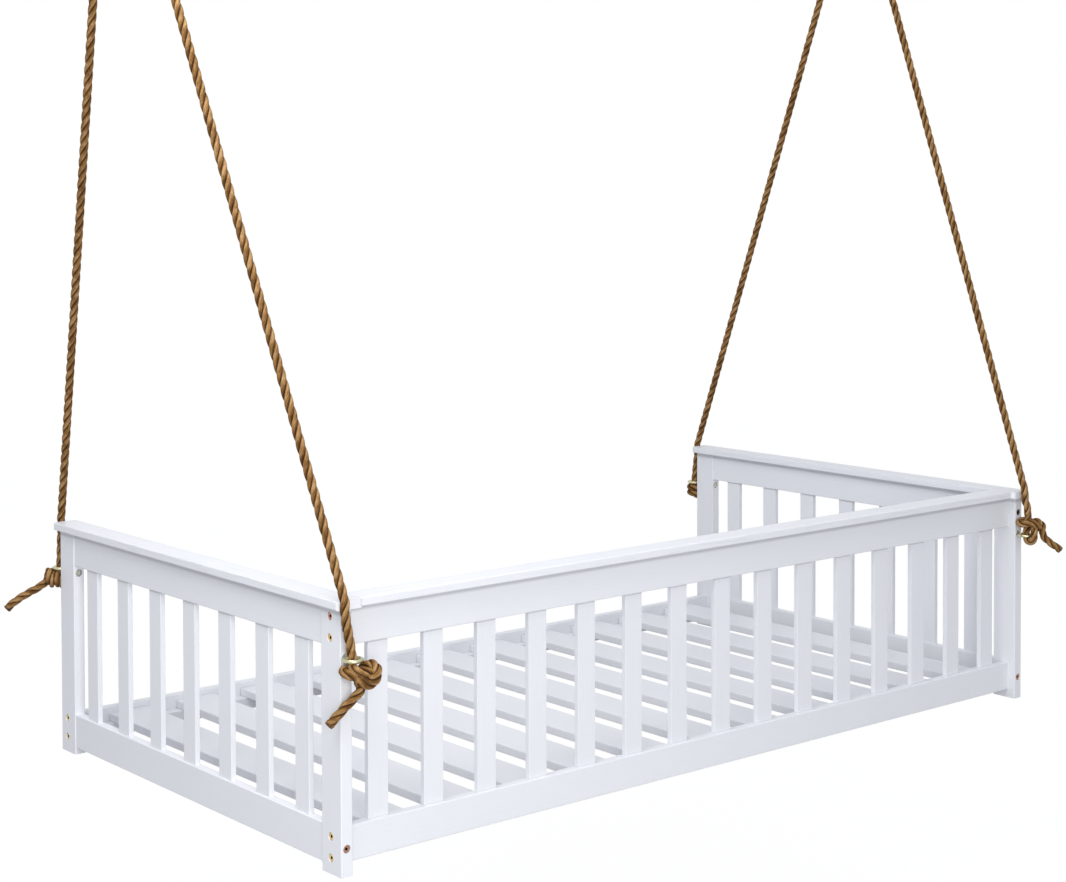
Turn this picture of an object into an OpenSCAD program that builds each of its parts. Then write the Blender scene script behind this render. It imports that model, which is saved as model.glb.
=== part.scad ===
// Hanging swing bed: a slatted wooden daybed hung at both ends on ropes from two ceiling hooks.
// Millimetres, +Z up. X runs along the bed, the tall picket back is on the -Y side.
// Z = 0 is the ceiling, X = 0 is above the middle of the bed, Y = 0 is the swing axis plane.
// Inside the modules the bed is drawn from its left near foot: x along, y across, z up.

/* [Bed] */
// Length over the outer faces of the posts
bed_l = 1986; // [1940:2:2120]
// Depth over the outer faces of the posts
bed_d = 1079; // [1040:1:1160]
// Height of the posts up to the underside of the caps
post_h = 485; // [460:1:540]
// Ceiling above the feet of the posts
drop = 2210; // [2150:2:2300]

/* [Boards] */
// Post section along the bed
post_w = 25; // [24:0.5:30]
// Post section across the bed
post_d = 62; // [58:1:70]
// Thickness of the rails
rail_t = 20; // [19:0.5:22]
// Height of the rails
rail_h = 72; // [68:1:76]
// Thickness of the caps
cap_t = 16; // [12:0.5:22]
// Radius of the eased edges
ease = 2; // [1:0.25:3]

/* [Pickets and slats] */
// Width of one picket
picket_w = 45; // [36:1:54]
// Thickness of one picket
picket_t = 11; // [9:0.5:12]
// Width of one slat
slat_w = 98; // [80:1:110]
// Thickness of one slat
slat_t = 18; // [15:0.5:20]

/* [Rope and fittings] */
// Rope diameter
rope_d = 18; // [16:0.5:19]
// Wire of the eye bolts
wire_d = 7.5; // [6.5:0.5:8]
// Bar of the ceiling hooks
bar_d = 12; // [10:0.5:13]

/* [Hidden] */
$fn = 48;
back_n = 15;
back_first = 100.5;
end_n = 7;
end_first = 134.5;
picket_ease = 0.8;
slat_n = 11;
slat_first = 143;
back_pitch = (bed_l - 2 * back_first) / (back_n - 1);
end_pitch = (bed_d - 2 * end_first) / (end_n - 1);
slat_pitch = (bed_l - 2 * slat_first) / (slat_n - 1);
// Rails: heights of their lower edges and how far they stand back from the posts
low_z = 15;
side_z = 19;
side_h = rail_h - 6;
top_z = post_h - rail_h;
end_in = 2;
back_in = 20;
front_in = 20;
front_y = bed_d - front_in - rail_t;
tenon = 12;
tenon_gap = 0.3;
// Caps
cap_out = 12.4;
cap_over = 10.8;
cap_over_far = [10.8, 2];
cap_corner = 8;
end_cap_w = 56;
back_cap_y = -1.7;
back_cap_w = 58;
cap_top = post_h + cap_t;
cap_in = end_cap_w - cap_out;
dowel_r = 4;
dowel_half = 10;
// Slats and the cleats they lie on
slat_drop = 13;
slat_top = side_z + side_h - slat_drop;
slat_gap = 1.5;
slat_z = slat_top - slat_t;
cleat_w = 26;
cleat_h = 27;
slat_y = back_in + rail_t + slat_gap;
slat_l = front_y - slat_y - slat_gap;
// Joint bolts and the threaded barrels they screw into, let into the ends of the rails
bolt_r = 3;
bolt_play = 0.25;
head_r = 7;
head_h = 4.5;
socket_r = 3.3;
sink = 6.5;
sink_r = 7.8;
nut_r = 5;
nut_l = 22;
nut_in = 1;
past_nut = 5;
reach_in = nut_in + nut_l + past_nut;
back_bolt_y = back_in + rail_t / 2 + 3.5;
front_bolt_y = front_y + rail_t / 2 + 3.5;
back_bolt_z = [side_z + 10, side_z + side_h - 17, top_z + 16, post_h - 17];
front_bolt_z = [side_z + 14, side_z + side_h - 11];
end_x = end_in + rail_t / 2;
end_bolt_z = [low_z + rail_h / 2, top_z + rail_h / 2];
// Eye bolts through the posts
eye_x = post_w / 2;
eye_z = top_z - 16;
shank_r = wire_d / 2 - 0.2;
eye_r = rope_d / 2 + wire_d / 2 + 3;
eye_out = eye_r + wire_d / 2 + 2.4;
washer_r = 9;
washer_t = 1.6;
eye_sink = 12;
eye_sink_r = 8;
in_washer_r = eye_sink_r - 0.3;
hex_r = 6.9;
hex_h = 6.5;
// Rope, seizing and thimble
rope_r = rope_d / 2;
lie = 0.3;
// How far each leg stands off the middle of its eye and of the post where it turns over the cap
at_eye = [[-2.4, -2], [7, 0]];
at_cap = [[-16, 0], [-2, 0]];
kink_z = cap_top + 2;
knot_z = eye_z - wire_d / 2 - lie;
hitch_z = eye_z + 49;
leg_half = rope_r + lie;
seize_l = 26;
seize_t = 3;
groove_r = 24;
thimble_in = 18;
groove_lie = 0.5;
turn_r = groove_r + rope_r + groove_lie;
flare = 25;
flare_h = (turn_r - leg_half * cos(flare)) / sin(flare);
// Hooks and ceiling plates
bar_r = bar_d / 2;
bow_r = 24;
plate_t = 6;
plate_a = 90;
plate_hole = 60;
plate_hole_r = 4.5;
collar_h = 12;
stem_h = 14;
hook_h = plate_t + collar_h + stem_h + 2 * bow_r * sin(60) + bow_r;
seat_z = drop - hook_h;
bow_z = seat_z + bow_r;
hang = thimble_in - bar_r - lie;
neck_q = -hang - flare_h;
turn_n = 14;
axis_y = 470;
hook_x = [-207, bed_l - 62];
eyes_x = [eye_x, bed_l - eye_x];
lean = [for (i = [0, 1]) (hook_x[i] - eyes_x[i]) / (bow_z - kink_z)];
steep = [for (i = [0, 1]) sqrt(1 + lean[i] * lean[i])];

// A point of the leaning rope plane of end i: y across, q up along the plane from the hook seat.
// The plane leans about the middle of the hook's bow, where the load finds its own seat.
function leant(i, y, q) =
    [hook_x[i] + lean[i] * (q - bow_r) / steep[i], axis_y + y, bow_z + (q - bow_r) / steep[i]];
function mix(a, b, t) = a + (b - a) * t;

// One leg of the rope of end i, from its knot up to the seizing; s = -1 near side, 1 far side
function edge_y(s, out) = s < 0 ? -out : bed_d + out;
function side(s) = s < 0 ? 0 : 1;
function over(i, s) = s < 0 ? cap_over : cap_over_far[i];
// The near right rope is hitched above its eye, the other three are knotted below theirs
function rope_end_z(i, s) = i == 1 && s < 0 ? hitch_z : knot_z;
function rope_end(i, s) = [eyes_x[i] + at_eye[i][side(s)], edge_y(s, eye_out), rope_end_z(i, s)];
function leg(i, s) =
    let (end = rope_end(i, s),
         foot = [eyes_x[i] + at_cap[i][side(s)], edge_y(s, over(i, s) + rope_r + lie), kink_z],
         neck = leant(i, s * leg_half, neck_q - seize_l))
    [end,
     [end[0], end[1], end[2] + 14],
     [foot[0], foot[1], post_h - 5],
     [foot[0], foot[1], cap_top - 8],
     foot,
     mix(foot, neck, 0.01),
     mix(foot, neck, 0.25),
     mix(foot, neck, 0.5),
     mix(foot, neck, 0.75),
     mix(foot, neck, 0.985),
     neck];
function turn(i) =
    [for (k = [0 : turn_n]) let (a = 180 + flare - k * (180 + 2 * flare) / turn_n)
        leant(i, turn_r * cos(a), -hang + turn_r * sin(a))];
function back_to_front(p) = [for (k = [len(p) - 1 : -1 : 0]) p[k]];
function route(i) = concat(
    leg(i, -1),
    [leant(i, -leg_half, neck_q)],
    turn(i),
    [leant(i, leg_half, neck_q)],
    back_to_front(leg(i, 1)));

// Tube of radius r along the points p, n sides, rings square to the run
function unit(v) = v / norm(v);
function heading(p, k) =
    unit(unit(p[min(k + 1, len(p) - 1)] - p[min(k, len(p) - 2)])
       + unit(p[max(k, 1)] - p[max(k - 1, 0)]));
function ring(p, k, r, n) =
    let (t = heading(p, k),
         u = unit([1, 0, 0] - t * t[0]),
         v = cross(t, u))
    [for (j = [0 : n - 1]) p[k] + r * (u * cos(360 * j / n) + v * sin(360 * j / n))];
module tube(p, r, n = 10) {
    last = (len(p) - 1) * n;
    polyhedron(
        points = [for (k = [0 : len(p) - 1]) each ring(p, k, r, n)],
        faces = concat(
            [[for (j = [0 : n - 1]) j]],
            [for (k = [0 : len(p) - 2], j = [0 : n - 1])
                [k * n + j, (k + 1) * n + j, (k + 1) * n + (j + 1) % n]],
            [for (k = [0 : len(p) - 2], j = [0 : n - 1])
                [k * n + j, (k + 1) * n + (j + 1) % n, k * n + (j + 1) % n]],
            [[for (j = [n - 1 : -1 : 0]) last + j]]),
        convexity = 4);
}

white = [0.9, 0.91, 0.93];
jute = [0.68, 0.5, 0.3];
brass = [0.8, 0.66, 0.3];
steel = [0.55, 0.56, 0.58];

module in_room() {
    translate([-bed_l / 2, -axis_y, -drop]) children();
}

// Rounded section a by b, standing on the origin corner
module section(a, b, r) {
    translate([r, 0]) square([a - 2 * r, b]);
    translate([0, r]) square([a, b - 2 * r]);
    for (x = [r, a - r], y = [r, b - r]) translate([x, y]) circle(r);
}
// Boards of size v with eased long edges, running along z, x or y
module board_z(v) {
    linear_extrude(v[2]) section(v[0], v[1], ease);
}
module board_x(v) {
    translate([0, 0, v[2]]) rotate([0, 90, 0]) linear_extrude(v[0]) section(v[2], v[1], ease);
}
module board_y(v) {
    translate([0, v[1], 0]) rotate([90, 0, 0]) linear_extrude(v[1]) section(v[0], v[2], ease);
}
module rod_x(p, r, l) {
    translate(p) rotate([0, 90, 0]) cylinder(h = l, r = r);
}
module rod_y(p, r, l) {
    translate(p) rotate([-90, 0, 0]) cylinder(h = l, r = r);
}
// Left half drawn, right half mirrored
module other_end() {
    translate([bed_l, 0, 0]) mirror([1, 0, 0]) children();
}
module other_side() {
    translate([0, bed_d, 0]) mirror([0, 1, 0]) children();
}

// Holes through a left post: rail bolts along x, end rail bolts along y, the eye bolt along y
module post_holes(bolt_y, bolt_zs, y_out) {
    for (z = bolt_zs) {
        rod_x([-1, bolt_y, z], bolt_r + bolt_play, post_w + 2);
        rod_x([-1, bolt_y, z], sink_r, sink + 1);
    }
    for (z = end_bolt_z) {
        rod_y([end_x, -1, z], bolt_r + bolt_play, post_d + 2);
        rod_y([end_x, -1, z], sink_r, sink + 1);
    }
    rod_y([eye_x, -1, eye_z], shank_r + bolt_play, post_d + 2);
    rod_y([eye_x, post_d - eye_sink, eye_z], eye_sink_r, eye_sink + 1);
}
module near_post() {
    difference() {
        board_z([post_w, post_d, post_h]);
        post_holes(back_bolt_y, back_bolt_z);
        cap_dowel_at(eye_x, post_d / 2);
    }
}
module far_post() {
    other_side() difference() {
        board_z([post_w, post_d, post_h]);
        post_holes(bed_d - front_bolt_y, front_bolt_z);
        cap_dowel_at(eye_x, post_d / 2);
    }
}
module cap_dowel_at(x, y) {
    translate([x, y, post_h - dowel_half]) cylinder(h = 2 * dowel_half, r = dowel_r);
}
dowel_end_y = [for (k = [1 : 3]) bed_d * k / 4];
dowel_back_x = [for (k = [1 : 5]) bed_l * k / 6];

module post_near_left() color(white) in_room() near_post();
module post_far_left() color(white) in_room() far_post();
module post_near_right() color(white) in_room() other_end() near_post();
module post_far_right() color(white) in_room() other_end() far_post();

// Rails of the ends, butted between the posts
function end_picket_y(k) = end_first + k * end_pitch - picket_w / 2;
picket_x0 = end_in + (rail_t - picket_t) / 2 - 0.5;
module end_rail(z0, bolt_z, mortise_z) {
    difference() {
        translate([end_in, post_d, z0]) board_y([rail_t, bed_d - 2 * post_d, rail_h]);
        for (k = [0 : end_n - 1])
            translate([picket_x0, end_picket_y(k), mortise_z]) cube([picket_t, picket_w, tenon + 1]);
        for (y = [post_d - 1, bed_d - post_d - reach_in])
            rod_y([end_x, y, bolt_z], bolt_r + bolt_play, reach_in + 1);
        for (y = [post_d - 1, bed_d - post_d - nut_in - nut_l])
            rod_y([end_x, y, bolt_z], nut_r, nut_in + nut_l + 1);
    }
}
module end_bottom() {
    end_rail(low_z, end_bolt_z[0], low_z + rail_h - tenon);
}
module end_top() {
    difference() {
        end_rail(top_z, end_bolt_z[1], top_z - 1);
        for (y = dowel_end_y) cap_dowel_at(end_x, y);
    }
}
module end_bottom_rail_left() color(white) in_room() end_bottom();
module end_bottom_rail_right() color(white) in_room() other_end() end_bottom();
module end_top_rail_left() color(white) in_room() end_top();
module end_top_rail_right() color(white) in_room() other_end() end_top();

picket_z = low_z + rail_h - tenon + tenon_gap;
back_picket_z = side_z + side_h - tenon + tenon_gap;
picket_l = top_z - low_z - rail_h + 2 * tenon - 2 * tenon_gap;
module end_picket_row() {
    for (k = [0 : end_n - 1])
        translate([picket_x0, end_picket_y(k), picket_z])
            linear_extrude(picket_l) section(picket_t, picket_w, picket_ease);
}
module end_pickets_left() color(white) in_room() end_picket_row();
module end_pickets_right() color(white) in_room() other_end() end_picket_row();

// Back rails and pickets, butted between the inner faces of the near posts
function back_picket_x(k) = back_first + k * back_pitch - picket_w / 2;
picket_y0 = back_in + 6;
module back_rail(z0, h, zs, mortise_z) {
    difference() {
        translate([post_w, back_in, z0]) board_x([bed_l - 2 * post_w, rail_t, h]);
        for (k = [0 : back_n - 1])
            translate([back_picket_x(k), picket_y0, mortise_z]) cube([picket_w, picket_t, tenon + 1]);
        for (z = zs) {
            rail_end_holes(back_bolt_y, z);
            other_end() rail_end_holes(back_bolt_y, z);
        }
    }
}
module rail_end_holes(bolt_y, z) {
    rod_x([post_w - 1, bolt_y, z], bolt_r + bolt_play, reach_in + 1);
    rod_x([post_w - 1, bolt_y, z], nut_r, nut_in + nut_l + 1);
}
module back_bottom_rail() {
    color(white) in_room() difference() {
        back_rail(side_z, side_h, [back_bolt_z[0], back_bolt_z[1]], side_z + side_h - tenon);
        for (x = cleat_screw_x) rod_y([x, back_in + rail_t - 14, cleat_mid], screw_r, 15);
    }
}
module back_top_rail() {
    color(white) in_room() difference() {
        back_rail(top_z, rail_h, [back_bolt_z[2], back_bolt_z[3]], top_z - 1);
        for (x = dowel_back_x) cap_dowel_at(x, back_in + rail_t / 2);
    }
}
module back_pickets() {
    color(white) in_room() for (k = [0 : back_n - 1])
        translate([back_picket_x(k), picket_y0, back_picket_z])
            linear_extrude(top_z + tenon - tenon_gap - back_picket_z)
                section(picket_w, picket_t, picket_ease);
}

// Caps over the ends and the back
module end_cap(far) {
    l = bed_d + cap_over + far;
    difference() {
        translate([-cap_out, -cap_over, post_h]) intersection() {
            board_y([end_cap_w, l, cap_t]);
            translate([0, 0, -1]) linear_extrude(cap_t + 2) section(end_cap_w, l, cap_corner);
        }
        for (y = dowel_end_y) cap_dowel_at(end_x, y);
        for (y = [post_d / 2, bed_d - post_d / 2]) cap_dowel_at(eye_x, y);
    }
}
module end_cap_left() color(white) in_room() end_cap(cap_over_far[0]);
module end_cap_right() color(white) in_room() other_end() end_cap(cap_over_far[1]);
module back_cap() {
    color(white) in_room() difference() {
        translate([cap_in, back_cap_y, post_h]) board_x([bed_l - 2 * cap_in, back_cap_w, cap_t]);
        for (x = dowel_back_x) cap_dowel_at(x, back_in + rail_t / 2);
    }
}
module end_dowels() {
    for (y = dowel_end_y) cap_dowel_at(end_x, y);
    for (y = [post_d / 2, bed_d - post_d / 2]) cap_dowel_at(eye_x, y);
}
module cap_dowels() {
    color(jute) in_room() {
        end_dowels();
        other_end() end_dowels();
        for (x = dowel_back_x) cap_dowel_at(x, back_in + rail_t / 2);
    }
}

// Front rail, cleats and slats
screw_r = 2;
cleat_mid = slat_z - cleat_h / 2;
cleat_screw_x = [for (k = [0 : 2 : slat_n - 1]) slat_first + k * slat_pitch + 22];
module front_rail() {
    color(white) in_room() difference() {
        translate([post_w, front_y, side_z]) board_x([bed_l - 2 * post_w, rail_t, side_h]);
        for (z = front_bolt_z) {
            rail_end_holes(front_bolt_y, z);
            other_end() rail_end_holes(front_bolt_y, z);
        }
        for (x = cleat_screw_x) rod_y([x, front_y - 1, cleat_mid], screw_r, 15);
    }
}
cleat_x = post_w + 1;
cleat_l = bed_l - 2 * cleat_x;
module cleat(y0) {
    difference() {
        translate([cleat_x, y0, slat_z - cleat_h]) board_x([cleat_l, cleat_w, cleat_h]);
        for (x = cleat_screw_x) rod_y([x, y0 - 1, cleat_mid], screw_r, cleat_w + 2);
        for (k = [0 : slat_n - 1]) slat_screw_hole(k, y0 + cleat_w / 2);
    }
}
module slat_screw_hole(k, y) {
    translate([slat_first + k * slat_pitch, y, slat_z - cleat_h - 1])
        cylinder(h = cleat_h + 12, r = screw_r);
}
module back_cleat() {
    color(white) in_room() difference() {
        cleat(back_in + rail_t);
        for (x = cleat_screw_x)
            translate([x, back_in + rail_t + cleat_w, cleat_mid]) rotate([90, 0, 0])
                cylinder(h = 3, r1 = 4.2, r2 = screw_r);
    }
}
module front_cleat() {
    color(white) in_room() difference() {
        cleat(front_y - cleat_w);
        for (x = cleat_screw_x)
            translate([x, front_y - cleat_w, cleat_mid]) rotate([-90, 0, 0])
                cylinder(h = 3, r1 = 4.2, r2 = screw_r);
    }
}
module slats() {
    color(white) in_room() difference() {
        for (k = [0 : slat_n - 1])
            translate([slat_first + k * slat_pitch - slat_w / 2, slat_y, slat_z])
                board_y([slat_w, slat_l, slat_t]);
        for (k = [0 : slat_n - 1], y = slat_screw_y) slat_screw_hole(k, y);
    }
}
slat_screw_y = [back_in + rail_t + cleat_w / 2, front_y - cleat_w / 2];
module slat_screws() {
    color(steel) in_room() for (k = [0 : slat_n - 1], y = slat_screw_y)
        translate([slat_first + k * slat_pitch, y, slat_z - cleat_h]) {
            cylinder(h = cleat_h + 11, r = screw_r);
            translate([0, 0, -2]) cylinder(h = 2, r = 4);
        }
}
module cleat_screw() {
    cylinder(h = 3, r1 = 4.2, r2 = screw_r);
    cylinder(h = cleat_w + 13, r = screw_r);
}
module cleat_screws() {
    color(steel) in_room() for (x = cleat_screw_x) {
        translate([x, front_y - cleat_w, cleat_mid]) rotate([-90, 0, 0]) cleat_screw();
        translate([x, back_in + rail_t + cleat_w, cleat_mid]) rotate([90, 0, 0]) cleat_screw();
    }
}

// Socket-head bolt along +z, head face at 0
module bolt(reach) {
    difference() {
        union() {
            cylinder(h = head_h, r = head_r);
            cylinder(h = reach, r = bolt_r);
        }
        translate([0, 0, -1]) cylinder(h = 4, r = socket_r, $fn = 6);
    }
}
module bolt_x(y, z) {
    translate([sink - head_h, y, z]) rotate([0, 90, 0])
        bolt(post_w + reach_in - 1 - sink + head_h);
}
module bolt_y(z) {
    translate([end_x, sink - head_h, z]) rotate([-90, 0, 0])
        bolt(post_d + reach_in - 1 - sink + head_h);
}
module x_bolts() {
    for (z = back_bolt_z) bolt_x(back_bolt_y, z);
    for (z = front_bolt_z) bolt_x(front_bolt_y, z);
}
module y_bolts() {
    for (z = end_bolt_z) {
        bolt_y(z);
        other_side() bolt_y(z);
    }
}
module rail_bolts_long() {
    color(brass) in_room() {
        x_bolts();
        other_end() x_bolts();
    }
}
module rail_bolts_end() {
    color(brass) in_room() {
        y_bolts();
        other_end() y_bolts();
    }
}
module barrel() {
    difference() {
        cylinder(h = nut_l, r = nut_r);
        translate([0, 0, -1]) cylinder(h = nut_l + 2, r = bolt_r + 0.05);
    }
}
module barrel_x(y, z) {
    translate([post_w + nut_in, y, z]) rotate([0, 90, 0]) barrel();
}
module barrel_y(z) {
    translate([end_x, post_d + nut_in, z]) rotate([-90, 0, 0]) barrel();
}
module end_nuts() {
    for (z = back_bolt_z) barrel_x(back_bolt_y, z);
    for (z = front_bolt_z) barrel_x(front_bolt_y, z);
    for (z = end_bolt_z) {
        barrel_y(z);
        other_side() barrel_y(z);
    }
}
module barrel_nuts() {
    color(brass) in_room() {
        end_nuts();
        other_end() end_nuts();
    }
}

// Eye bolts: a flat ring in front of the post, the shank through it, nut sunk in the inner face
module at_eyes() {
    children();
    other_side() children();
    other_end() children();
    other_end() other_side() children();
}
eye_nut_y = post_d - eye_sink + washer_t;
module eye_bolt() {
    translate([eye_x, -eye_out, eye_z]) rotate_extrude() translate([eye_r, 0]) circle(wire_d / 2);
    rod_y([eye_x, -eye_out + eye_r - 1, eye_z], shank_r, eye_out - eye_r + post_d - 1);
}
module eye_bolt_near_left() color(brass) in_room() eye_bolt();
module eye_bolt_far_left() color(brass) in_room() other_side() eye_bolt();
module eye_bolt_near_right() color(brass) in_room() other_end() eye_bolt();
module eye_bolt_far_right() color(brass) in_room() other_end() other_side() eye_bolt();
module eye_washers() {
    color(brass) in_room() at_eyes() {
        eye_washer(-washer_t, washer_r);
        eye_washer(post_d - eye_sink, in_washer_r);
    }
}
module eye_washer(y, r) {
    difference() {
        rod_y([eye_x, y, eye_z], r, washer_t);
        rod_y([eye_x, y - 1, eye_z], shank_r + 0.05, washer_t + 2);
    }
}
module eye_nuts() {
    color(brass) in_room() at_eyes() difference() {
        translate([eye_x, eye_nut_y, eye_z]) rotate([-90, 0, 0])
            cylinder(h = hex_h, r = hex_r, $fn = 6);
        rod_y([eye_x, eye_nut_y - 1, eye_z], shank_r + 0.05, hex_h + 2);
    }
}

// Knots: crossing turns of the rope drawn up into a ball beside the post, with the tail.
// The hitched one sits on its eye and has a loop round the wire.
knot_off = 15;
knot_down = 3.1 * rope_r;
knot_turn = eye_out + knot_off - rope_r - 2.4;
ball_r = 2.7 * rope_r;
hitch_r = 2.4 * rope_r;
hitch_turn = 1.5 * rope_r;
loop_r = rope_r + wire_d / 2 + lie;
module turn_of_rope(r, tilt, way) {
    rotate([0, 0, way]) rotate([tilt, 0, 0]) rotate_extrude() translate([r, 0]) circle(rope_r);
}
module tail(way, down, l) {
    rotate([0, 0, way]) rotate([0, 90 + down, 0]) cylinder(h = l, r = rope_r - 0.5);
}
module ball(way) {
    sphere(ball_r);
    translate([0, 0, 0.9 * rope_r]) turn_of_rope(knot_turn - 2, 9, way);
    translate([0, 0, -rope_r]) turn_of_rope(knot_turn, -12, way + 50);
    turn_of_rope(2 * rope_r, 90, way + 20);
}
module knot(i, s, way, down, l) {
    color(jute) in_room() translate(rope_end(i, s)) {
        translate([0, 0, -2.2 * rope_r]) cylinder(h = 2.2 * rope_r, r = rope_r);
        translate([0, s * knot_off, -knot_down]) {
            ball(way);
            tail(way, down, l);
        }
    }
}
module knot_near_left() knot(0, -1, 171, 53, 110);
module knot_far_left() knot(0, 1, 149, 30, 134);
module knot_far_right() knot(1, 1, 0, 72, 70);
module knot_near_right() {
    at = rope_end(1, -1);
    ball_z = eye_z + wire_d / 2 + hitch_turn + rope_r + 2 * lie;
    color(jute) in_room() {
        translate([at[0], at[1], ball_z]) cylinder(h = at[2] - ball_z, r = rope_r);
        translate([at[0], at[1] - knot_off, ball_z]) {
            sphere(hitch_r);
            translate([0, 0, rope_r / 2]) turn_of_rope(knot_turn - 2, 6, -42);
            turn_of_rope(hitch_turn, 90, -22);
            tail(-42, 24, 83);
        }
        translate([eyes_x[1], -eye_out - eye_r, eye_z]) rotate([0, 90, 0])
            rotate_extrude() translate([loop_r, 0]) circle(rope_r);
    }
}

module rope_left() color(jute) in_room() tube(route(0), rope_r);
module rope_right() color(jute) in_room() tube(route(1), rope_r);

// Things that hang in the leaning rope plane of end i, drawn with the hook seat at the origin
module hung(i) {
    translate([hook_x[i], axis_y, bow_z]) rotate([0, atan(lean[i]), 0])
        translate([0, 0, -bow_r]) children();
}
module seizing(i) {
    inner = rope_r + lie + 0.2;
    color(jute) in_room() hung(i) translate([0, 0, neck_q - seize_l + 2])
        linear_extrude(seize_l - 4) difference() {
            stadium(inner + seize_t);
            stadium(inner);
        }
}
module stadium(r) {
    square([2 * r, 2 * leg_half], center = true);
    for (y = [-leg_half, leg_half]) translate([0, y]) circle(r);
}
module seizing_left() seizing(0);
module seizing_right() seizing(1);

// Round thimble: a grooved ring the rope lies round, its inside rounded to sit in the hook
thimble_half = rope_r + groove_lie + 3;
bulge_r = 13;
module thimble(i) {
    color(steel) in_room() hung(i) translate([0, 0, -hang]) rotate([0, 90, 0])
        rotate_extrude() difference() {
            intersection() {
                translate([thimble_in + bulge_r, 0]) circle(bulge_r);
                translate([thimble_in, -thimble_half])
                    square([groove_r + rope_r - thimble_in, 2 * thimble_half]);
            }
            translate([turn_r, 0]) circle(rope_r + groove_lie);
        }
}
module thimble_left() thimble(0);
module thimble_right() thimble(1);

// Ceiling hook: stem, reverse bend and bow, the seat straight under the stem
module arc_of_bar(cx, cz, from, sweep) {
    translate([cx, 0, cz]) rotate([90, 0, 0]) rotate([0, 0, from])
        rotate_extrude(angle = sweep) translate([bow_r, 0]) circle(bar_r);
}
module hook(i) {
    bend_z = bow_z + 2 * bow_r * sin(60);
    color(steel) in_room() translate([hook_x[i], axis_y, 0]) {
        arc_of_bar(bow_r, bend_z, 180, 60);
        arc_of_bar(0, bow_z, 180 - 5, 245);
        translate([0, 0, bend_z]) cylinder(h = drop - plate_t - bend_z, r = bar_r);
        for (p = [[-bow_r * cos(5), bow_z + bow_r * sin(5)],
                  [bow_r / 2, bow_z + bow_r * sin(60)],
                  [0, bend_z]])
            translate([p[0], 0, p[1]]) sphere(bar_r + 0.1);
    }
}
module hook_left() hook(0);
module hook_right() hook(1);
module plate(i) {
    color(steel) in_room() translate([hook_x[i], axis_y, drop - plate_t]) difference() {
        union() {
            translate([-plate_a / 2, -plate_a / 2, 0]) linear_extrude(plate_t)
                section(plate_a, plate_a, 10);
            translate([0, 0, -collar_h]) cylinder(h = collar_h + 1, r = bar_r + 7);
        }
        translate([0, 0, -collar_h - 1]) cylinder(h = collar_h + 1, r = bar_r);
        for (x = [-plate_hole / 2, plate_hole / 2], y = [-plate_hole / 2, plate_hole / 2])
            translate([x, y, -1]) cylinder(h = plate_t + 2, r = plate_hole_r);
    }
}
module ceiling_plate_left() plate(0);
module ceiling_plate_right() plate(1);

ceiling_plate_left();
ceiling_plate_right();
hook_left();
hook_right();
thimble_left();
thimble_right();
seizing_left();
seizing_right();
rope_left();
rope_right();
knot_near_left();
knot_far_left();
knot_near_right();
knot_far_right();
eye_bolt_near_left();
eye_bolt_far_left();
eye_bolt_near_right();
eye_bolt_far_right();
eye_washers();
eye_nuts();
post_near_left();
post_far_left();
post_near_right();
post_far_right();
end_bottom_rail_left();
end_bottom_rail_right();
end_top_rail_left();
end_top_rail_right();
end_pickets_left();
end_pickets_right();
end_cap_left();
end_cap_right();
back_bottom_rail();
back_top_rail();
back_pickets();
back_cap();
cap_dowels();
front_rail();
front_cleat();
back_cleat();
slats();
slat_screws();
cleat_screws();
rail_bolts_long();
rail_bolts_end();
barrel_nuts();
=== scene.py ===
from math import cos, pi, radians, sin, sqrt

import bpy
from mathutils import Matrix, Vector


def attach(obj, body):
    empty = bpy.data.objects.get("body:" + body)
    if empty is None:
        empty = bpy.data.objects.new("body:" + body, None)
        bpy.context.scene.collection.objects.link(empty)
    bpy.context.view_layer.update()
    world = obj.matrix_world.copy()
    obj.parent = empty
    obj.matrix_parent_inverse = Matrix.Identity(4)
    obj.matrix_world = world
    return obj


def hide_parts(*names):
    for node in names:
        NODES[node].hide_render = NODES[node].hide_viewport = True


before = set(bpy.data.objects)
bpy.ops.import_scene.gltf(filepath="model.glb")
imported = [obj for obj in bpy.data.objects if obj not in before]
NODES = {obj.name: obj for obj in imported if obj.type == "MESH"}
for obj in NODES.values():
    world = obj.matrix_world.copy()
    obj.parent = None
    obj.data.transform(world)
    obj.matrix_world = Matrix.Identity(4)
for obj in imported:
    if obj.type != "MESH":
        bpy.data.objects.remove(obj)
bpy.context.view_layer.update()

# ---------------------------------------------------------------- sizes in mm, as in part.scad
MM = 0.001                              # in metres
BED_L, BED_D, POST_H, DROP = 1986, 1079, 485, 2210
POST_W, CAP_T, RAIL_H, RAIL_T = 25, 16, 72, 20
SIDE_H = RAIL_H - 6                     # height of the rails along the bottom of both sides
BACK_IN, FRONT_IN, END_IN = 20, 20, 2   # how far the rails lie inside the posts' faces
LOW_Z, SIDE_Z = 15, 19
TOP_Z = POST_H - RAIL_H
CAP_TOP = POST_H + CAP_T
ROPE_D, WIRE_D, BAR_D = 18, 7.5, 12
ROPE_R = ROPE_D / 2
LIE = 0.3                               # play between a rope and what it lies on
AXIS_Y = 470                            # the swing axis, from the near faces

# The rings of the eye bolts: how far they are under the top rails, round the rope and off the post
EYE_UNDER, EYE_ROUND, EYE_OFF = 16, 3, 2.4
EYE_X, EYE_Z = POST_W / 2, TOP_Z - EYE_UNDER
EYE_R = ROPE_D / 2 + WIRE_D / 2 + EYE_ROUND
EYE_OUT = EYE_R + WIRE_D / 2 + EYE_OFF
EYES_X = (EYE_X, BED_L - EYE_X)

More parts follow.
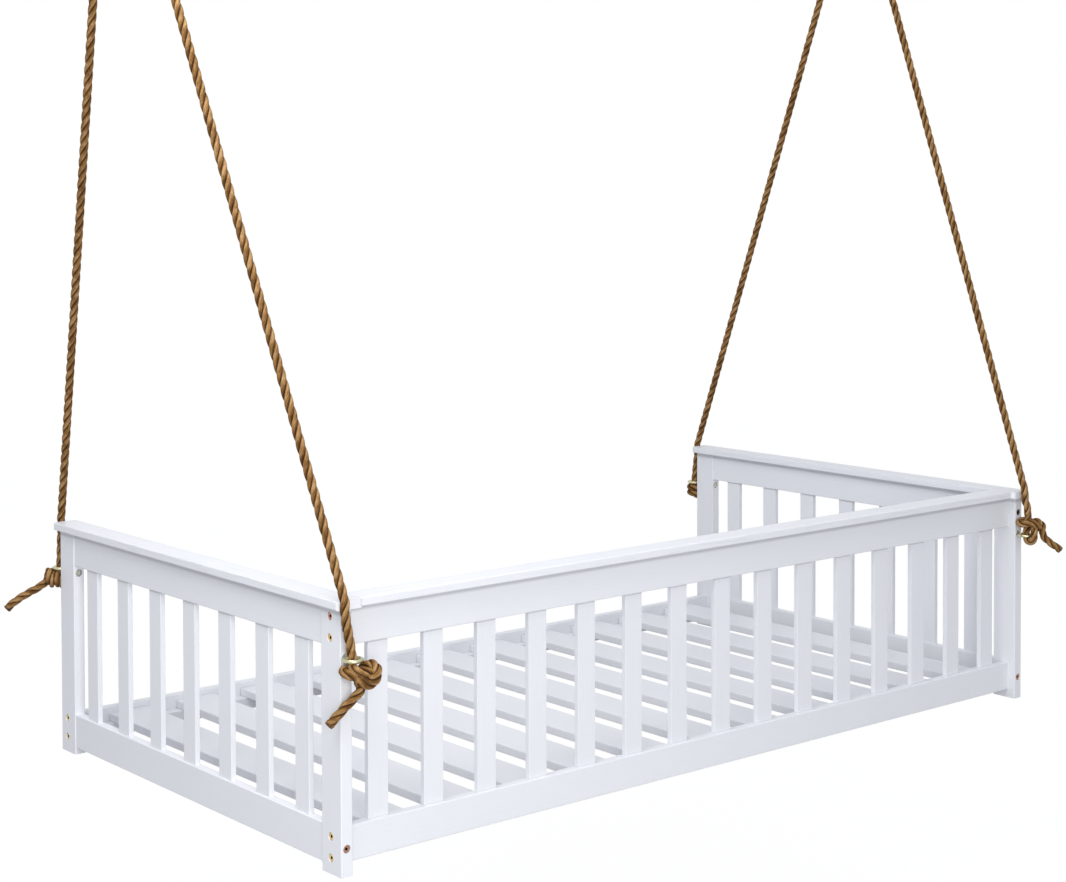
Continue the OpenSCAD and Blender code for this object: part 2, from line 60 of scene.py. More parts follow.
# The legs of the ropes: where they bend over the caps and where their ends are
KINK_UP, HITCH_UP = 2, 49
KINK_Z = CAP_TOP + KINK_UP
KNOT_Z = EYE_Z - WIRE_D / 2 - LIE
HITCH_Z = EYE_Z + HITCH_UP
# How far each leg stands off the middle of its eye, off its post where it turns over the cap,
# and how far the cap under it overhangs: rows for the left and right end, near side first
AT_EYE = ((-2.4, -2), (7, 0))
AT_CAP = ((-16, 0), (-2, 0))
CAP_OVER = ((10.8, 10.8), (10.8, 2))
# The rise out of an end, how far a leg's straight piece starts under a cap and stops under its top
END_RISE, PAST_FROM, PAST_TO = 14, 5, 8
LEG_STEPS = (0.01, 0.25, 0.5, 0.75, 0.985)

# Above the view: the seizing, the turn round the thimble and the hook
LEG_HALF = ROPE_R + LIE
SEIZE_L = 26
THIMBLE_IN, GROOVE_R, GROOVE_LIE = 18, 24, 0.5
TURN_R = GROOVE_R + ROPE_R + GROOVE_LIE
TURN_N = 14
FLARE = 25                              # degrees that the turn runs past a half circle at each leg
FLARE_H = (TURN_R - LEG_HALF * cos(radians(FLARE))) / sin(radians(FLARE))
PLATE_T, COLLAR_H, STEM_H, BOW_R, BOW_BEND = 6, 12, 14, 24, 60
HOOK_H = PLATE_T + COLLAR_H + STEM_H + 2 * BOW_R * sin(radians(BOW_BEND)) + BOW_R
BOW_Z = DROP - HOOK_H + BOW_R
HANG = THIMBLE_IN - BAR_D / 2 - LIE     # the thimble's middle, under the hook's seat
NECK_Q = -HANG - FLARE_H                # where the turn ends and the legs lie side by side
HOOK_X = (-207, BED_L - 62)             # the left one is past the bed's end, the right one inside
LEAN = [(HOOK_X[i] - EYES_X[i]) / (BOW_Z - KINK_Z) for i in (0, 1)]
STEEP = [sqrt(1 + k * k) for k in LEAN]


def room(x, y, z):
    """Bed millimetres to row metres."""
    return Vector(((x - BED_L / 2) * MM, (y - AXIS_Y) * MM, (z - DROP) * MM))


def leant(i, y, q):
    """Point in the leaning plane of end i's rope: y behind its hook, q up from the hook's seat."""
    rise = (q - BOW_R) / STEEP[i]
    return room(HOOK_X[i] + LEAN[i] * rise, AXIS_Y + y, BOW_Z + rise)


def edge_y(side, out):
    """How far back a point is that lies out mm past the near (-1) or the far (1) side."""
    return -out if side < 0 else BED_D + out


def rope_end(i, side):
    """The near right rope is hitched above its eye, the other three are knotted below theirs."""
    k = 0 if side < 0 else 1
    z = HITCH_Z if i == 1 and side < 0 else KNOT_Z
    return room(EYES_X[i] + AT_EYE[i][k], edge_y(side, EYE_OUT), z)


def leg(i, side):
    """From a rope's end up past the end of the cap, which it bends over, to the seizing."""
    k = 0 if side < 0 else 1
    end = rope_end(i, side)
    x, y = EYES_X[i] + AT_CAP[i][k], edge_y(side, CAP_OVER[i][k] + ROPE_R + LIE)
    foot = room(x, y, KINK_Z)
    neck = leant(i, side * LEG_HALF, NECK_Q - SEIZE_L)
    return [end,
            end + Vector((0, 0, END_RISE * MM)),
            room(x, y, POST_H - PAST_FROM),
            room(x, y, CAP_TOP - PAST_TO),
            foot] + [foot.lerp(neck, t) for t in LEG_STEPS] + [neck]


def turn(i):
    """The run round the thimble, from the near leg to the far one."""
    angles = [radians(180 + FLARE - k * (180 + 2 * FLARE) / TURN_N) for k in range(TURN_N + 1)]
    return [leant(i, TURN_R * cos(a), -HANG + TURN_R * sin(a)) for a in angles]


def route(i):
    """The whole rope of end i, near end first."""
    return (leg(i, -1) + [leant(i, -LEG_HALF, NECK_Q)] + turn(i)
            + [leant(i, LEG_HALF, NECK_Q)] + leg(i, 1)[::-1])


def add_object(name, data):
    obj = bpy.data.objects.new(name, data)
    bpy.context.scene.collection.objects.link(obj)
    return obj


# ---------------------------------------------------------------- camera, from the fit to the photo
PHOTO_W, PHOTO_H = 1066, 882
FOCAL_PX, CENTRE_X, CENTRE_Y = 2017.05, 498.72, 242.06
camera_data = bpy.data.cameras.new("camera")
camera = add_object("camera", camera_data)
camera.location = room(-2035.3, -2953.5, 1248.8)
camera.rotation_euler = (radians(88.257), radians(0.186), radians(-39.136))
camera_data.sensor_width = 36
camera_data.lens = FOCAL_PX * camera_data.sensor_width / PHOTO_W
camera_data.shift_x = (PHOTO_W / 2 - CENTRE_X) / PHOTO_W
camera_data.shift_y = (CENTRE_Y - PHOTO_H / 2) / PHOTO_W
camera_data.clip_end = 60
bpy.context.scene.camera = camera

# ---------------------------------------------------------------- rope, laid from three strands
STRANDS = 3
# Shares of the rope's radius: a strand's own radius, its middle's distance from the rope's, where
# two strands meet, and how deep the fibres leave the groove open. A power under 1 flattens crowns.
STRAND_R, STRAND_OFF, MEET, GROOVE_LOW, CROWN = 0.464, 0.536, 0.268, 0.52, 0.62
# How many rings at each end of a rope are drawn in or out
END_RINGS = 4
# Where the cut ends lie on the UV map: they take the painted shade of a groove
CUT_UV = (-1, 0.5)


def rounded(points, rounds=2):
    """Corner cutting, ends kept."""
    for _ in range(rounds):
        cut = [points[0]]
        for a, b in zip(points, points[1:]):
            cut += [a.lerp(b, 0.25), a.lerp(b, 0.75)]
        points = cut + [points[-1]]
    return points


def smooth(points, per=8):
    """Catmull-Rom spline through the points."""
    ends = [2 * points[0] - points[1]] + points + [2 * points[-1] - points[-2]]
    out = []
    for k in range(1, len(ends) - 2):
        a, b, c, d = ends[k - 1:k + 3]
        for j in range(per):
            t = j / per
            out.append(0.5 * (2 * b + (c - a) * t + (2 * a - 5 * b + 4 * c - d) * t * t
                              + (3 * b - a - 3 * c + d) * t * t * t))
    return out + [points[-1]]


def evenly(points, step):
    """The same line in equal steps, and its length."""
    run = [0.0]
    for a, b in zip(points, points[1:]):
        run.append(run[-1] + (b - a).length)
    count = max(2, round(run[-1] / step))
    out, k = [], 0
    for j in range(count + 1):
        s = run[-1] * j / count
        while k < len(points) - 2 and run[k + 1] < s:
            k += 1
        span = run[k + 1] - run[k] or 1
        out.append(points[k].lerp(points[k + 1], (s - run[k]) / span))
    return out, run[-1]


def strand_edge(a, r):
    """Radius of a three-strand rope at angle a from a strand's crown."""
    a = (a + pi / STRANDS) % (2 * pi / STRANDS) - pi / STRANDS
    strand, off = STRAND_R * r, STRAND_OFF * r
    edge = off * cos(a) + sqrt(max(strand ** 2 - (off * sin(a)) ** 2, 0))
    low = GROOVE_LOW * r
    return low + (r - low) * ((edge - MEET * r) / ((1 - MEET) * r)) ** CROWN


def tube_faces(k, n):
    """Faces between the ring of n points that starts at k and the next ring."""
    return [(k + j, k + (j + 1) % n, k + n + (j + 1) % n, k + n + j) for j in range(n)]


def laid_rope(name, points, d, lay=0.075, sides=36, step=0.0028, ends=(1, 1), start=0.0):
    """Three-strand rope of diameter d along the points, in metres.

    Its strands go round once in each lay, and start turns them. ends scale its first and last
    ring. The UV map "run" has the way along the rope in metres, and counts strands round it."""
    line, length = evenly(points, step)
    last = len(line) - 1
    along = [length * k / last for k in range(last + 1)]
    verts, faces, uvs = [], [], []
    side = None
    for k, p in enumerate(line):
        ahead = (line[min(k + 1, last)] - line[max(k - 1, 0)]).normalized()
        if side is None:
            side = ahead.orthogonal().normalized()
        side = (side - ahead * side.dot(ahead)).normalized()
        other = ahead.cross(side)
        turn_by = start + 2 * pi * along[k] / lay
        squeeze = 1.0
        if k < END_RINGS:
            squeeze = ends[0] + (1 - ends[0]) * sin(k / END_RINGS * pi / 2)
        if k > last - END_RINGS:
            squeeze = ends[1] + (1 - ends[1]) * sin((last - k) / END_RINGS * pi / 2)
        for j in range(sides):
            a = 2 * pi * j / sides
            # the section turns with the strands, so a ring keeps its corners on them
            r = strand_edge(a, d / 2) * squeeze
            verts.append(p + side * (r * cos(a + turn_by)) + other * (r * sin(a + turn_by)))
    for k in range(last):
        faces += tube_faces(k * sides, sides)
        u0, u1 = along[k], along[k + 1]
        for j in range(sides):
            v0, v1 = STRANDS * j / sides, STRANDS * (j + 1) / sides
            uvs += [(u0, v0), (u0, v1), (u1, v1), (u1, v0)]
    faces.append(tuple(range(sides - 1, -1, -1)))
    faces.append(tuple(last * sides + j for j in range(sides)))
    uvs += [CUT_UV] * (2 * sides)
    mesh = bpy.data.meshes.new(name)
    mesh.from_pydata(verts, [], faces)
    layer = mesh.uv_layers.new(name="run")
    layer.data.foreach_set("uv", [c for uv in uvs for c in uv])
    mesh.polygons.foreach_set("use_smooth", [True] * (len(faces) - 2) + [False] * 2)
    mesh.update()
    return add_object(name, mesh), line, length


# ---------------------------------------------------------------- helpers for materials
def new_material(name):
    mat = bpy.data.materials.new(name)
    mat.use_nodes = True
    tree = mat.node_tree
    return mat, tree, tree.nodes["Principled BSDF"]


def object_place(tree):
    return tree.nodes.new("ShaderNodeTexCoord").outputs["Object"]


def calc(tree, op, *values):
    """A Math node; each value is a number or another node's output."""
    n = tree.nodes.new("ShaderNodeMath")
    n.operation = op
    for k, v in enumerate(values):
        if isinstance(v, (int, float)):
            n.inputs[k].default_value = v
        else:
            tree.links.new(v, n.inputs[k])
    return n.outputs[0]


def mix(tree, fac, a, b):
    """Colour a with b over it; each is a tuple of three or another node's output."""
    n = tree.nodes.new("ShaderNodeMix")
    n.data_type = "RGBA"
    for socket, v in ((n.inputs["Factor"], fac), (n.inputs["A"], a), (n.inputs["B"], b)):
        if isinstance(v, tuple):
            socket.default_value = (*v, 1)
        else:
            tree.links.new(v, socket)
    return n.outputs["Result"]


def noise(tree, vector, scale, detail=3.0, rough=0.5):
    n = tree.nodes.new("ShaderNodeTexNoise")
    n.inputs["Scale"].default_value = scale
    n.inputs["Detail"].default_value = detail
    n.inputs["Roughness"].default_value = rough
    tree.links.new(vector, n.inputs["Vector"])
    return n.outputs["Fac"]


def wood_noise(tree, place, along, scale, detail):
    """Noise drawn out along one axis, as wood's grain is."""
    scales = [scale] * 3
    scales[along] *= GRAIN_STRETCH
    n = tree.nodes.new("ShaderNodeMapping")
    n.inputs["Scale"].default_value = scales
    tree.links.new(place, n.inputs["Vector"])
    return noise(tree, n.outputs["Vector"], 1.0, detail, 0.6)


def ramp(tree, fac, *stops):
    """A Color Ramp; each stop is a position and a colour."""
    n = tree.nodes.new("ShaderNodeValToRGB")
    while len(n.color_ramp.elements) < len(stops):
        n.color_ramp.elements.new(0.5)
    for element, (at, colour) in zip(n.color_ramp.elements, stops):
        element.position = at
        element.color = (*colour, 1)
    tree.links.new(fac, n.inputs["Fac"])
    return n.outputs["Color"]


def bump(tree, shader, height, distance, strength):
    n = tree.nodes.new("ShaderNodeBump")
    n.inputs["Distance"].default_value = distance
    n.inputs["Strength"].default_value = strength
    tree.links.new(height, n.inputs["Height"])
    tree.links.new(n.outputs["Normal"], shader.inputs["Normal"])


def split(tree, vector):
    n = tree.nodes.new("ShaderNodeSeparateXYZ")
    tree.links.new(vector, n.inputs["Vector"])
    return n.outputs["X"], n.outputs["Y"], n.outputs["Z"]


def row_z(z):
    """A bed height in mm, as a material's Object coordinate has it."""
    return (z - DROP) * MM


def seen_directly(tree):
    """1 where the camera looks, also by way of metal, and 0 for the light that falls on things."""
    path = tree.nodes.new("ShaderNodeLightPath")
    seen = calc(tree, "MAXIMUM", path.outputs["Is Camera Ray"], path.outputs["Is Glossy Ray"])
    return calc(tree, "MAXIMUM", seen, path.outputs["Is Transmission Ray"])


# ---------------------------------------------------------------- materials
WHITE, BLACK = (1, 1, 1), (0, 0, 0)
PAINT_LOW, PAINT_HIGH = (0.775, 0.785, 0.815), (0.815, 0.822, 0.845)
PAINT_STREAK, SHADE_AND_SEAM_DARK = (0.66, 0.67, 0.70), (0.22, 0.22, 0.235)
# Scales of noise, in waves a metre; along the wood the grain and fibre have a share of theirs
GRAIN, FIBRE, CLOUD, GRAIN_STRETCH = 260.0, 900.0, 5.0, 0.05
PATCH, HAIR, GRIT = 45.0, 900.0, 1500.0
# The yarns' noise: waves a metre along the rope, their slant, and waves across a strand
YARN_ALONG, YARN_SLANT, YARN_ACROSS = 90, 55, 9
# How much darker one flank of each strand is than the other: painted shade, as if lit from one side
FLANK_SHADE = -0.30
# The grooves' painted shade: its share of the darkest rope colour, and how much of the groove it
# covers
GROOVE_SHADE, GROOVE_COVER = 0.45, 0.90


def painted(name, along, joints=(), streaks=0.10):
    """White satin paint over planed boards, the grain faint and running along one axis.

    joints are the heights in mm at which the board meets another, with the reach and strength of
    the dark band painted there: painted shade where a board overhangs it, and a dark seam line
    where none does. streaks is how much of the grain shows as lines in the paint."""
    mat, tree, shader = new_material(name)
    place = object_place(tree)
    grain = wood_noise(tree, place, along, GRAIN, 4.0)
    fibre = wood_noise(tree, place, along, FIBRE, 2.0)
    cloud = noise(tree, place, CLOUD)
    colour = mix(tree, cloud, PAINT_LOW, PAINT_HIGH)
    streak = ramp(tree, grain, (0.35, WHITE), (0.5, BLACK))
    colour = mix(tree, calc(tree, "MULTIPLY", streak, streaks), colour, PAINT_STREAK)
    # a dark band at each joint: painted shade under an overhanging board, and a dark seam line
    # where no board overhangs
    for z, reach, strength in joints:
        off = calc(tree, "ABSOLUTE", calc(tree, "SUBTRACT", split(tree, place)[2], row_z(z)))
        band = calc(tree, "MULTIPLY_ADD", off, -strength / (reach * MM), strength)
        colour = mix(tree, calc(tree, "MAXIMUM", band, 0.0), colour, SHADE_AND_SEAM_DARK)
    tree.links.new(colour, shader.inputs["Base Color"])
    rough = calc(tree, "MULTIPLY_ADD", grain, 0.16, 0.36)
    tree.links.new(rough, shader.inputs["Roughness"])
    bump(tree, shader, calc(tree, "MULTIPLY_ADD", fibre, 0.35, grain), 0.00025, 0.35)
    return mat


def rope_material(name, light, mid, dark):
    """Laid natural fibre: yarns streak along each strand, and the grooves between get painted
    shade.
    """
    mat, tree, shader = new_material(name)
    uv = tree.nodes.new("ShaderNodeUVMap")
    uv.uv_map = "run"
    u, v, _ = split(tree, uv.outputs["UV"])
    # over one strand this runs from -0.5 at one groove, through 0 on the crown, to 0.5 at the next
    over = calc(tree, "SUBTRACT", calc(tree, "FRACT", calc(tree, "ADD", v, 0.5)), 0.5)
    slanted = calc(tree, "MULTIPLY_ADD", u, YARN_SLANT, calc(tree, "MULTIPLY", v, YARN_ACROSS))
    join = tree.nodes.new("ShaderNodeCombineXYZ")
    tree.links.new(calc(tree, "MULTIPLY", u, YARN_ALONG), join.inputs["X"])
    tree.links.new(slanted, join.inputs["Y"])
    yarn = noise(tree, join.outputs["Vector"], 1.0, 4.0, 0.65)
    place = object_place(tree)
    patch = noise(tree, place, PATCH)
    hair = noise(tree, place, HAIR, 2.0, 0.7)
    tone = calc(tree, "MULTIPLY_ADD", patch, 0.5, calc(tree, "MULTIPLY", yarn, 0.6))
    # painted shade: one flank of each strand darker than the other
    tone = calc(tree, "MULTIPLY_ADD", over, FLANK_SHADE, tone)
    colour = ramp(tree, tone, (0.36, dark), (0.52, mid), (0.70, light))
    # painted shade in the grooves between the strands
    groove = ramp(tree, calc(tree, "ABSOLUTE", over), (0.30, BLACK), (0.48, WHITE))
    shade = tuple(c * GROOVE_SHADE for c in dark)
    colour = mix(tree, calc(tree, "MULTIPLY", groove, GROOVE_COVER), colour, shade)
    tree.links.new(colour, shader.inputs["Base Color"])
    shader.inputs["Roughness"].default_value = 0.85
    shader.inputs["Specular IOR Level"].default_value = 0.12
    bump(tree, shader, calc(tree, "MULTIPLY_ADD", hair, 0.4, yarn), 0.0009, 0.8)
    return mat


def metal(name, colour, tint, rough, scale=60.0, above=None):
    """Plated metal, clouded with tint; above is a height in mm and the colour of all over it."""
    mat, tree, shader = new_material(name)
    place = object_place(tree)
    cloud = noise(tree, place, scale, 4.0)
    plate = mix(tree, cloud, colour, tint)
    if above:
        high = calc(tree, "GREATER_THAN", split(tree, place)[2], row_z(above[0]))
        plate = mix(tree, high, plate, above[1])
    tree.links.new(plate, shader.inputs["Base Color"])
    shader.inputs["Metallic"].default_value = 1.0
    tree.links.new(calc(tree, "MULTIPLY_ADD", cloud, 0.2, rough), shader.inputs["Roughness"])
    bump(tree, shader, noise(tree, place, GRIT, 2.0), 0.0001, 0.3)
    return mat


# Dark bands at joints: a height, the reach to each side of it and the strength. The first two are
# painted shade, a little lower than the joint itself, which the board above hides: the caps' shadow
# on the rails and posts, and the top rails' shadow on the pickets' heads. The third is a dark seam
# line at the pickets' feet.
UNDER_CAP_SHADE = (POST_H - 8, 5.5, 0.42)
PICKET_HEAD_SHADE = (TOP_Z - 2.3, 1.8, 0.42)
PICKET_FOOT = (LOW_Z + RAIL_H - 1, 2.5, 0.2)
PAINT_X, PAINT_Y, PAINT_Z = [painted("white_paint_" + axis, k, [UNDER_CAP_SHADE])
                             for k, axis in enumerate("xyz")]
CAP_X, CAP_Y = [painted("cap_paint_" + axis, k, streaks=0.4) for k, axis in enumerate("xy")]
PICKET = painted("picket_paint", 2, [PICKET_HEAD_SHADE, PICKET_FOOT])
ROPE = rope_material("manila", (0.475, 0.288, 0.130), (0.228, 0.111, 0.033), (0.078, 0.031, 0.008))
TWINE = rope_material("twine", (0.42, 0.26, 0.11), (0.28, 0.16, 0.065), (0.12, 0.065, 0.025))
TIP = rope_material("rope_end", (0.16, 0.10, 0.06), (0.09, 0.055, 0.035), (0.04, 0.025, 0.018))
ZINC = metal("yellow_zinc", (0.66, 0.61, 0.36), (0.44, 0.45, 0.33), 0.20, 90.0)
# The topmost bolts are darkened with painted shade: reddish in the ends' outer faces under the
# caps, and almost black in the near and far faces
BRASS = metal("bolt_yellow", (0.80, 0.60, 0.24), (0.60, 0.41, 0.16), 0.24, 90.0,
              (POST_H - 25, (0.50, 0.26, 0.20)))
COPPER = metal("bolt_red", (0.52, 0.29, 0.21), (0.36, 0.18, 0.13), 0.28, 90.0,
               (TOP_Z, (0.07, 0.055, 0.045)))
HOLLOW_SHADE = metal("hollow_painted_shade", (0.035, 0.025, 0.018), (0.02, 0.014, 0.01), 0.55)
STEEL = metal("galvanised", (0.60, 0.61, 0.62), (0.50, 0.51, 0.53), 0.38)
SCREW = metal("screw_steel", (0.55, 0.55, 0.54), (0.45, 0.45, 0.45), 0.3)
BEECH = painted("beech", 2)
SLAT = painted("slat_paint", 1)

# Which nodes of the part each material dresses, by the beginnings of their names
DRESS = (
    (CAP_Y, "end_cap"),
    (CAP_X, "back_cap"),
    (SLAT, "slats"),
    (PICKET, "back_pickets", "end_pickets"),
    (PAINT_Y, "end_bottom_rail", "end_top_rail"),
    (PAINT_X, "back_bottom_rail", "back_top_rail", "front_rail", "front_cleat", "back_cleat"),
    (PAINT_Z, "post"),
    (ZINC, "eye_bolt", "barrel_nuts"),
    (BRASS, "rail_bolts_long"),
    (COPPER, "rail_bolts_end"),
    (STEEL, "ceiling_plate", "hook", "thimble", "eye_nuts", "eye_washers"),
    (SCREW, "slat_screws", "cleat_screws"),
    (BEECH, "cap_dowels"),
)
for mat, *starts in DRESS:
    for name in NODES:
        if name.startswith(tuple(starts)):
            slots = NODES[name].data.materials
            slots.clear()
            slots.append(mat)

# ---------------------------------------------------------------- the ropes
ENDS = ("left", "right")
START = 0.7                             # how far the right rope's strands are turned, in radians
for i, end in enumerate(ENDS):
    points = rounded(route(i))
    rope, line, length = laid_rope("rope_laid_" + end, points, ROPE_D * MM, start=START * i)
    rope.data.materials.append(ROPE)
    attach(rope, "bed")
    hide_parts("rope_" + end)

# Knots: the route of each from the rope's end, in millimetres. Its x runs to the right and its y
# away from the photo's viewpoint, KNOT_YAW from the bed's own x, and z is up.
KNOT_YAW = radians(-39.1)
KNOTS = {
    # a stopper under its eye: over the front, round the back, up over the right and through
    "near_left": [
        (0, 0, 2), (0, -1, -6), (7, -8, -11), (20, -12, -14), (33, -6, -17), (43, 7, -26),
        (39, 3, -36), (27, -7, -39), (15, -6, -33), (10, 8, -24), (19, 18, -13), (32, 13, -6),
        (43, 1, -9), (46, -11, -18), (39, -15, -26), (28, -7, -26), (12, 5, -24), (-2, 11, -19),
        (-13, 3, -15), (-15, -6, -17), (-5, -11, -20), (6, -8, -25), (10, -1, -34), (15, 4, -44),
        (13, 1, -53), (3, -3, -64), (-10, -3, -77), (-26, -2, -95), (-42, 0, -113)],
    # upright turns side by side, the tail leaving to the left
    "far_left": [
        (0, 0, 2), (0, 2, -6), (2, 11, -15), (2, 8, -28), (-1, -6, -32), (-3, -14, -22),
        (-6, -9, -12), (-12, 4, -7), (-16, 13, -15), (-17, 9, -27), (-18, -4, -31),
        (-20, -15, -21), (-22, -11, -9), (-25, 2, -4), (-29, 10, -11), (-30, 8, -22),
        (-37, 4, -32), (-54, 0, -43), (-78, -2, -56), (-101, -4, -71), (-118, -4, -86)],
    # down through its eye, up round the wire, then two turns about itself
    "near_right": [
        (0, 0, 2), (0, 0, -10), (-1, -2, -24), (-4, -5, -38), (-6, -8, -49), (-5, -14, -59),
        (0, -22, -62), (5, -29, -57), (8, -29, -46), (9, -23, -34), (11, -9, -26), (14, 6, -22),
        (4, 16, -17), (-11, 5, -16), (-21, -3, -20), (-15, -14, -21), (-2, -21, -18),
        (12, -21, -22), (24, -12, -29), (27, 4, -32), (18, 15, -28), (18, 12, -20), (26, 2, -19),
        (32, -8, -26), (31, -15, -38), (34, -14, -50), (45, -12, -62), (60, -10, -73),
        (76, -8, -84)],
    # level turns, the tail straight down behind the post
    "far_right": [
        (0, 0, 2), (0, 0, -10), (0, 0, -24), (6, 4, -34), (16, 3, -33), (13, -5, -29),
        (0, -14, -27), (-12, -5, -26), (-9, 9, -24), (4, 15, -21), (16, 8, -18), (14, -4, -15),
        (2, -14, -12), (-12, -6, -11), (-10, 8, -10), (2, 15, -12), (14, 14, -20), (20, 8, -36),
        (20, 4, -56), (18, 2, -80)],
}
# The whipped tip of a tail: its length, how much thicker than the rope it is, its step in metres
# and how far its two ends draw in. It runs from 1, its start, to a little past 0, the tail's end.
TIP_L, TIP_OVER, TIP_STEP, TIP_ENDS = 7, 0.9, 0.0009, (0.8, 0.55)
TIP_STEPS = (1, 0.75, 0.5, 0.25, 0, -0.12)
for i, end in enumerate(ENDS):
    for side, near in ((-1, "near"), (1, "far")):
        key = near + "_" + end
        points = []
        for x, y, z in KNOTS[key]:
            turned = Vector((x * cos(KNOT_YAW) - y * sin(KNOT_YAW),
                             x * sin(KNOT_YAW) + y * cos(KNOT_YAW), z))
            points.append(rope_end(i, side) + MM * turned)
        knot, line, _ = laid_rope("knot_tied_" + key, smooth(points), ROPE_D * MM)
        knot.data.materials.append(ROPE)
        last, back = line[-1], (line[-2] - line[-1]).normalized()
        tip_line = [last + back * (TIP_L * MM * t) for t in TIP_STEPS]
        tip, _, _ = laid_rope("knot_tip_" + key, tip_line, (ROPE_D + TIP_OVER) * MM,
                              step=TIP_STEP, ends=TIP_ENDS)
        tip.data.materials.append(TIP)
        for piece in (knot, tip):
            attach(piece, "bed")
            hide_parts("knot_" + key)

# ---------------------------------------------------------------- seizings: twine round both legs
SEIZE_TURNS, SEIZE_STEPS = 8, 24        # turns of twine, and points in each
SEIZE_BARE = 4.0                        # at each end of the seizing's length
TWINE_D, TWINE_UP = 2.8, 2.2            # its middle's distance over the rope's surface
TWINE_LAY, TWINE_STEP, TWINE_SIDES = 0.009, 0.0018, 12
CROSSING = 6                            # how fast it goes over from one leg to the other
for i, end in enumerate(ENDS):
    points = []
    for k in range(SEIZE_TURNS * SEIZE_STEPS + 1):
        a = 2 * pi * k / SEIZE_STEPS
        r = ROPE_R + TWINE_UP
        # half a turn round one leg, across to the other and half a turn round that
        across = LEG_HALF * (1 if cos(a) > 0 else -1) * min(1, abs(cos(a)) * CROSSING)
        share = k / (SEIZE_TURNS * SEIZE_STEPS)
        q = NECK_Q - SEIZE_L + SEIZE_BARE + (SEIZE_L - 2 * SEIZE_BARE) * share
        points.append(leant(i, across + r * cos(a), q) + Vector((r * MM * sin(a), 0, 0)))
    seize, _, _ = laid_rope("seizing_wound_" + end, points, TWINE_D * MM, lay=TWINE_LAY,
                            sides=TWINE_SIDES, step=TWINE_STEP)
    seize.data.materials.append(TWINE)
    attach(seize, "bed")
    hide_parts("seizing_" + end)

# ---------------------------------------------------------------- painted shade: dark sheets in the joint bolts' sockets and round their heads
# The heads: their depth under the wood, their hole, themselves and their hexagon socket
SINK, SINK_R, HEAD_R, HEAD_H, SOCKET_R = 6.5, 7.8, 7, 4.5, 3.3
# The bolts' heights: two in each rail of the back, two in the front rail, one in each end rail
BACK_Z = (SIDE_Z + 10, SIDE_Z + SIDE_H - 17, TOP_Z + 16, POST_H - 17)
FRONT_Z = (SIDE_Z + 14, SIDE_Z + SIDE_H - 11)
END_Z = (LOW_Z + RAIL_H / 2, TOP_Z + RAIL_H / 2)
BOLT_OFF = 3.5                          # the long bolts lie behind the middle of their rails
BACK_Y = BACK_IN + RAIL_T / 2 + BOLT_OFF
FRONT_Y = BED_D - FRONT_IN - RAIL_T / 2 + BOLT_OFF
END_X = END_IN + RAIL_T / 2
UP, ALONG, ACROSS = Vector((0, 0, 1)), Vector((1, 0, 0)), Vector((0, 1, 0))
heads = []
for x, inward in ((0, ALONG), (BED_L, -ALONG)):
    heads += [(room(x, BACK_Y, z), inward, UP) for z in BACK_Z]
    heads += [(room(x, FRONT_Y, z), inward, UP) for z in FRONT_Z]
for x in (END_X, BED_L - END_X):
    for y, inward in ((0, ACROSS), (BED_D, -ACROSS)):
        heads += [(room(x, y, z), inward, ALONG) for z in END_Z]

# The painted shade in a socket is a dark sheet that stands off its sides by SOCKET_PLAY and runs
# between two depths under the head's top; that in a counterbore is a flat dark ring round the head,
# with RING_PLAY at both edges
SOCKET_PLAY, SOCKET_DEPTHS = 0.06, (0.15, 2.9)
RING_PLAY, RING_DEPTH = 0.05, 0.6
HEX, ROUND = 6, 24


def ring_of(centre, one, other, r, count):
    """Points round a centre, in the plane of two directions."""
    angles = [2 * pi * k / count for k in range(count)]
    return [centre + (one * cos(a) + other * sin(a)) * (r * MM) for a in angles]


verts, faces = [], []
for face, inward, one in heads:
    other = inward.cross(one)
    top = face + inward * ((SINK - HEAD_H) * MM)
    k = len(verts)
    for deep in SOCKET_DEPTHS:
        verts += ring_of(top + inward * (deep * MM), one, other, SOCKET_R - SOCKET_PLAY, HEX)
    faces += tube_faces(k, HEX)
    faces.append(tuple(range(k + HEX, k + 2 * HEX)))
    k = len(verts)
    for r in (HEAD_R + RING_PLAY, SINK_R - RING_PLAY):
        verts += ring_of(top + inward * (RING_DEPTH * MM), one, other, r, ROUND)
    faces += tube_faces(k, ROUND)
# dark sheets of painted shade in the bolts' recesses
shade_sheet_mesh = bpy.data.meshes.new("bolt_painted_shade")
shade_sheet_mesh.from_pydata(verts, [], faces)
shade_sheet_mesh.materials.append(HOLLOW_SHADE)
shade_sheet = add_object("bolt_painted_shade", shade_sheet_mesh)
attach(shade_sheet, "bed")

# ---------------------------------------------------------------- floor, lights, world
FLOOR_HALF, FLOOR_GAP = 30, 0.45        # metres; the gap is between the floor and the posts' feet
FLOOR_LOW, FLOOR_HIGH = (0.37, 0.37, 0.38), (0.39, 0.39, 0.40)
# To the camera most of the floor is a white glow, and the rest shows the bed's shadow
FLOOR_GLOW, GLOW_SHARE = 1.25, 0.74
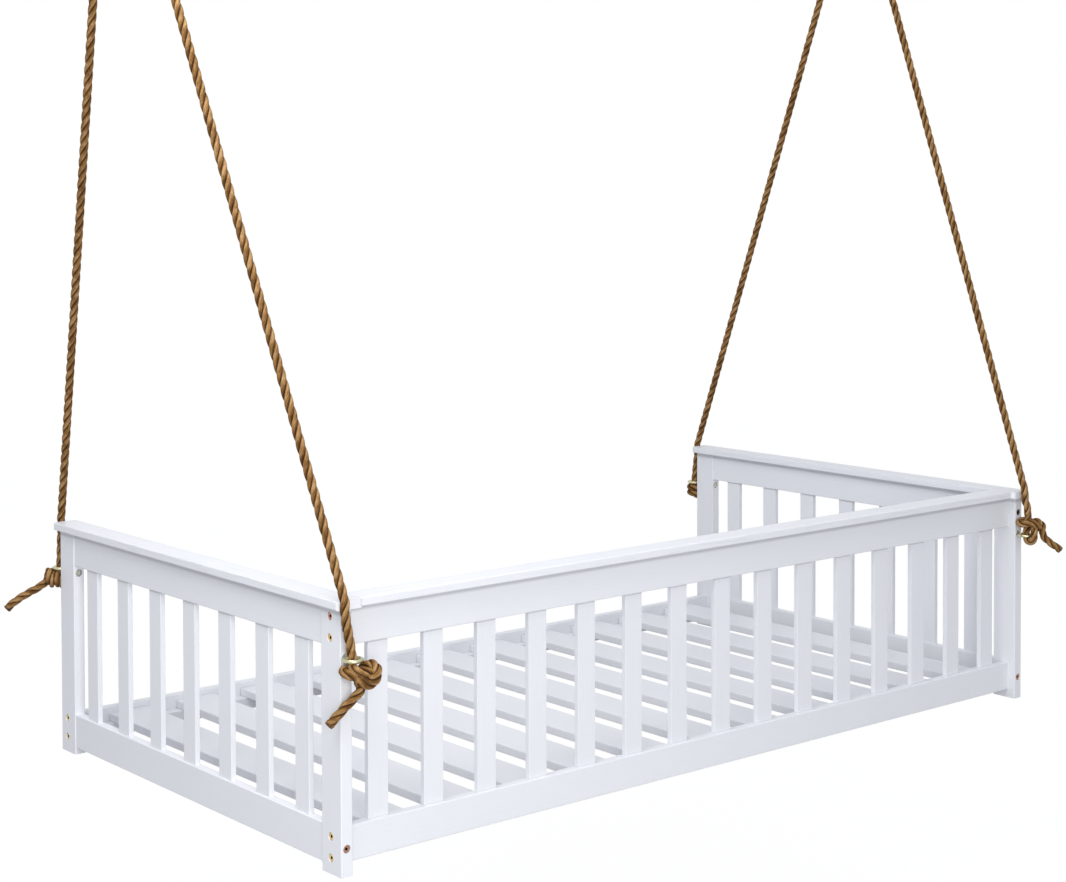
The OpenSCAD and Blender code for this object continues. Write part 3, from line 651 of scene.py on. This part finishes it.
# The sky is white to the camera and a little bluer and dimmer as a light
SKY, SKY_LIGHT = (0.90, 0.935, 1.0), 0.69

floor_z = -DROP * MM - FLOOR_GAP
floor_mesh = bpy.data.meshes.new("floor")
corners = [(x * FLOOR_HALF, y * FLOOR_HALF, floor_z)
           for x, y in ((-1, -1), (1, -1), (1, 1), (-1, 1))]
floor_mesh.from_pydata(corners, [], [(0, 1, 2, 3)])
floor = add_object("floor", floor_mesh)
mat, tree, shader = new_material("floor_white")
shader.inputs["Roughness"].default_value = 0.9
tree.links.new(mix(tree, noise(tree, object_place(tree), 2.0), FLOOR_LOW, FLOOR_HIGH),
               shader.inputs["Base Color"])
glow = tree.nodes.new("ShaderNodeEmission")
glow.inputs["Strength"].default_value = FLOOR_GLOW
both = tree.nodes.new("ShaderNodeMixShader")
tree.links.new(calc(tree, "MULTIPLY", seen_directly(tree), GLOW_SHARE), both.inputs["Fac"])
tree.links.new(shader.outputs["BSDF"], both.inputs[1])
tree.links.new(glow.outputs["Emission"], both.inputs[2])
tree.links.new(both.outputs["Shader"], tree.nodes["Material Output"].inputs["Surface"])
floor_mesh.materials.append(mat)


def soft_lamp(name, size, watts, where, aimed):
    """A square soft box."""
    lamp = bpy.data.lights.new(name, "AREA")
    lamp.size = size
    lamp.energy = watts
    obj = add_object(name, lamp)
    obj.location = where
    obj.rotation_euler = (where - aimed).to_track_quat("Z", "Y").to_euler()


# Both lamps stand by the left end, so that the long side and the tops fade to the right
soft_lamp("front_box", 2.0, 66, room(-1200, -2950, 930), room(500, 0, 350))
soft_lamp("top_box", 1.6, 37, room(-800, -400, 2600), room(100, 300, 400))

world = bpy.data.worlds.new("studio")
bpy.context.scene.world = world
world.use_nodes = True
tree = world.node_tree
background = tree.nodes["Background"]
seen = seen_directly(tree)
tree.links.new(calc(tree, "MULTIPLY_ADD", seen, 1 - SKY_LIGHT, SKY_LIGHT),
               background.inputs["Strength"])
tree.links.new(mix(tree, seen, SKY, WHITE), background.inputs["Color"])

bpy.context.scene.view_settings.view_transform = "Standard"
